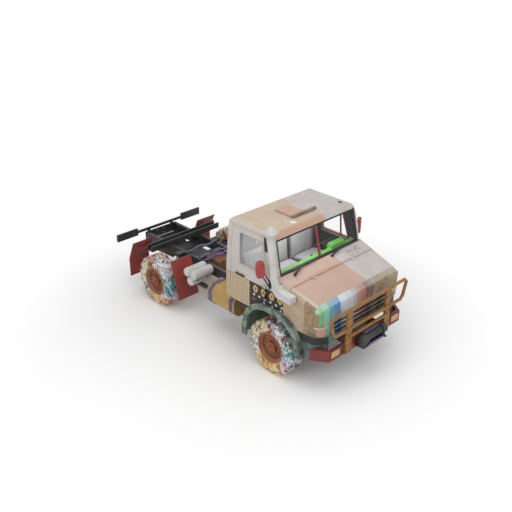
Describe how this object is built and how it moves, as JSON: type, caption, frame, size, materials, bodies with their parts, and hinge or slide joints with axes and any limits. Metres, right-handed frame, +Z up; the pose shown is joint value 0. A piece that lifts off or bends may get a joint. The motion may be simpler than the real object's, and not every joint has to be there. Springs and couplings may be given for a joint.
{
  "type": "short-bonnet four-wheel-drive truck",
  "caption": "Short-bonnet off-road truck, chassis and cab, with a bull bar, winch and snorkel; it rolls, steers and opens its doors, bonnet and roof hatch.",
  "frame": {"origin": "on the ground under the middle of the truck, midway between the axles", "axes": "+X forward, +Y to the truck's left, +Z up"},
  "size_m": [5.92, 2.6712, 2.734],
  "materials": {
    "black_metal": "satin black",
    "cast_metal": "rough, oiled",
    "rim_paint": "rusty brown",
    "tyre_rubber": "rubber with a many-coloured print",
    "maroon_paint": "satin",
    "ochre_paint": "satin",
    "purple_paint": "satin",
    "grey_paint": "satin",
    "cab_paint": "worn satin",
    "bonnet_paint": "worn satin",
    "nose_paint": "worn satin with colour bands",
    "fender_paint": "worn satin",
    "red_paint": "satin",
    "seat_fabric": "woven grey",
    "dash_plastic": "lime",
    "black_plastic": "matt",
    "black_rubber": "matt",
    "amber_lens": "ribbed",
    "red_lens": "ribbed",
    "clear_glass": "clear"
  },
  "bodies": {
    "chassis": {"frame_rails": "black_metal", "crossmembers": "black_metal", "body_beams": "black_metal", "rear_light_bar": "black_metal", "rear_lamps": "red_lens", "rear_mudguards": "maroon_paint", "air_tanks": "grey_paint", "tank_saddles": "black_metal", "fuel_tank": "ochre_paint", "tank_straps": "purple_paint", "battery_box": "black_plastic", "air_lines": "purple_paint", "front_bumper": "maroon_paint", "front_lamps": "amber_lens", "bull_bar": "ochre_paint", "winch": "black_metal", "winch_fairlead": "purple_paint", "engine": "cast_metal", "driveline": "cast_metal", "front_axle": "black_metal", "rear_axle": "black_metal", "springs": "black_metal", "cab_floor": "cab_paint", "cab_back_wall": "cab_paint", "cab_roof": "bonnet_paint", "windscreen_frame": "cab_paint", "windscreen_seal": "black_rubber", "windscreen_post": "red_paint", "cab_glass": "clear_glass", "cowl": "bonnet_paint", "nose": "nose_paint", "front_fenders": "fender_paint", "fender_strips": "black_plastic", "mirrors": "red_paint", "wipers": "black_plastic", "snorkel": "grey_paint", "dashboard": "dash_plastic", "seat_bases": "black_metal", "driver_cushion": "seat_fabric", "driver_back": "seat_fabric", "bench_cushion": "seat_fabric", "bench_back": "seat_fabric"},
    "knuckle_right": {"knuckle_right": "black_metal"},
    "knuckle_left": {"knuckle_left": "black_metal"},
    "tie_rod": {"tie_rod": "black_metal"},
    "wheel_front_right": {"rim_front_right": "rim_paint", "tyre_front_right": "tyre_rubber"},
    "wheel_front_left": {"rim_front_left": "rim_paint", "tyre_front_left": "tyre_rubber"},
    "wheel_rear_right": {"rim_rear_right": "rim_paint", "tyre_rear_right": "tyre_rubber"},
    "wheel_rear_left": {"rim_rear_left": "rim_paint", "tyre_rear_left": "tyre_rubber"},
    "door_right": {"door_right": "cab_paint", "door_glass_right": "clear_glass"},
    "door_left": {"door_left": "cab_paint", "door_glass_left": "clear_glass"},
    "bonnet": {"bonnet": "bonnet_paint"},
    "roof_hatch": {"roof_hatch": "bonnet_paint"},
    "steering_wheel": {"steering_wheel": "black_plastic"}
  },
  "joints": [
    {"name": "steer_right", "type": "hinge", "parent": "chassis", "child": "knuckle_right", "pos_m": [1.625, -0.74, 0.615], "axis": [0, 0, 1], "range_deg": [-32, 32]},
    {"name": "steer_left", "type": "hinge", "parent": "chassis", "child": "knuckle_left", "pos_m": [1.625, 0.74, 0.615], "axis": [0, 0, 1], "range_deg": [-32, 32]},
    {"name": "tie_rod_pivot", "type": "hinge", "parent": "knuckle_right", "child": "tie_rod", "pos_m": [1.395, -0.74, 0.545], "axis": [0, 0, 1], "range_deg": [-32, 32]},
    {"name": "roll_front_right", "type": "hinge", "parent": "knuckle_right", "child": "wheel_front_right", "pos_m": [1.625, -0.986, 0.51], "axis": [0, 1, 0], "continuous": true},
    {"name": "roll_front_left", "type": "hinge", "parent": "knuckle_left", "child": "wheel_front_left", "pos_m": [1.625, 0.986, 0.51], "axis": [0, 1, 0], "continuous": true},
    {"name": "roll_rear_right", "type": "hinge", "parent": "chassis", "child": "wheel_rear_right", "pos_m": [-1.625, -0.986, 0.51], "axis": [0, 1, 0], "continuous": true},
    {"name": "roll_rear_left", "type": "hinge", "parent": "chassis", "child": "wheel_rear_left", "pos_m": [-1.625, 0.986, 0.51], "axis": [0, 1, 0], "continuous": true},
    {"name": "door_right_swing", "type": "hinge", "parent": "chassis", "child": "door_right", "pos_m": [1.47, -1.114, 1.5], "axis": [0, 0, 1], "range_deg": [0, 65]},
    {"name": "door_left_swing", "type": "hinge", "parent": "chassis", "child": "door_left", "pos_m": [1.47, 1.114, 1.5], "axis": [0, 0, -1], "range_deg": [0, 65]},
    {"name": "bonnet_lift", "type": "hinge", "parent": "chassis", "child": "bonnet", "pos_m": [1.992, 0, 1.784], "axis": [0, -1, 0], "range_deg": [0, 50]},
    {"name": "hatch_lift", "type": "hinge", "parent": "chassis", "child": "roof_hatch", "pos_m": [0.829, 0, 2.546], "axis": [0, -1, 0], "range_deg": [0, 30]},
    {"name": "steering_wheel_turn", "type": "hinge", "parent": "chassis", "child": "steering_wheel", "pos_m": [1.26, 0.6, 1.8], "axis": [-0.5878, 0, 0.809], "range_deg": [-450, 450]}
  ],
  "couplings": [
    {"joint": "steer_left", "follows": "steer_right", "ratio": 1},
    {"joint": "tie_rod_pivot", "follows": "steer_right", "ratio": -1},
    {"joint": "steering_wheel_turn", "follows": "steer_right", "ratio": 14}
  ]
}
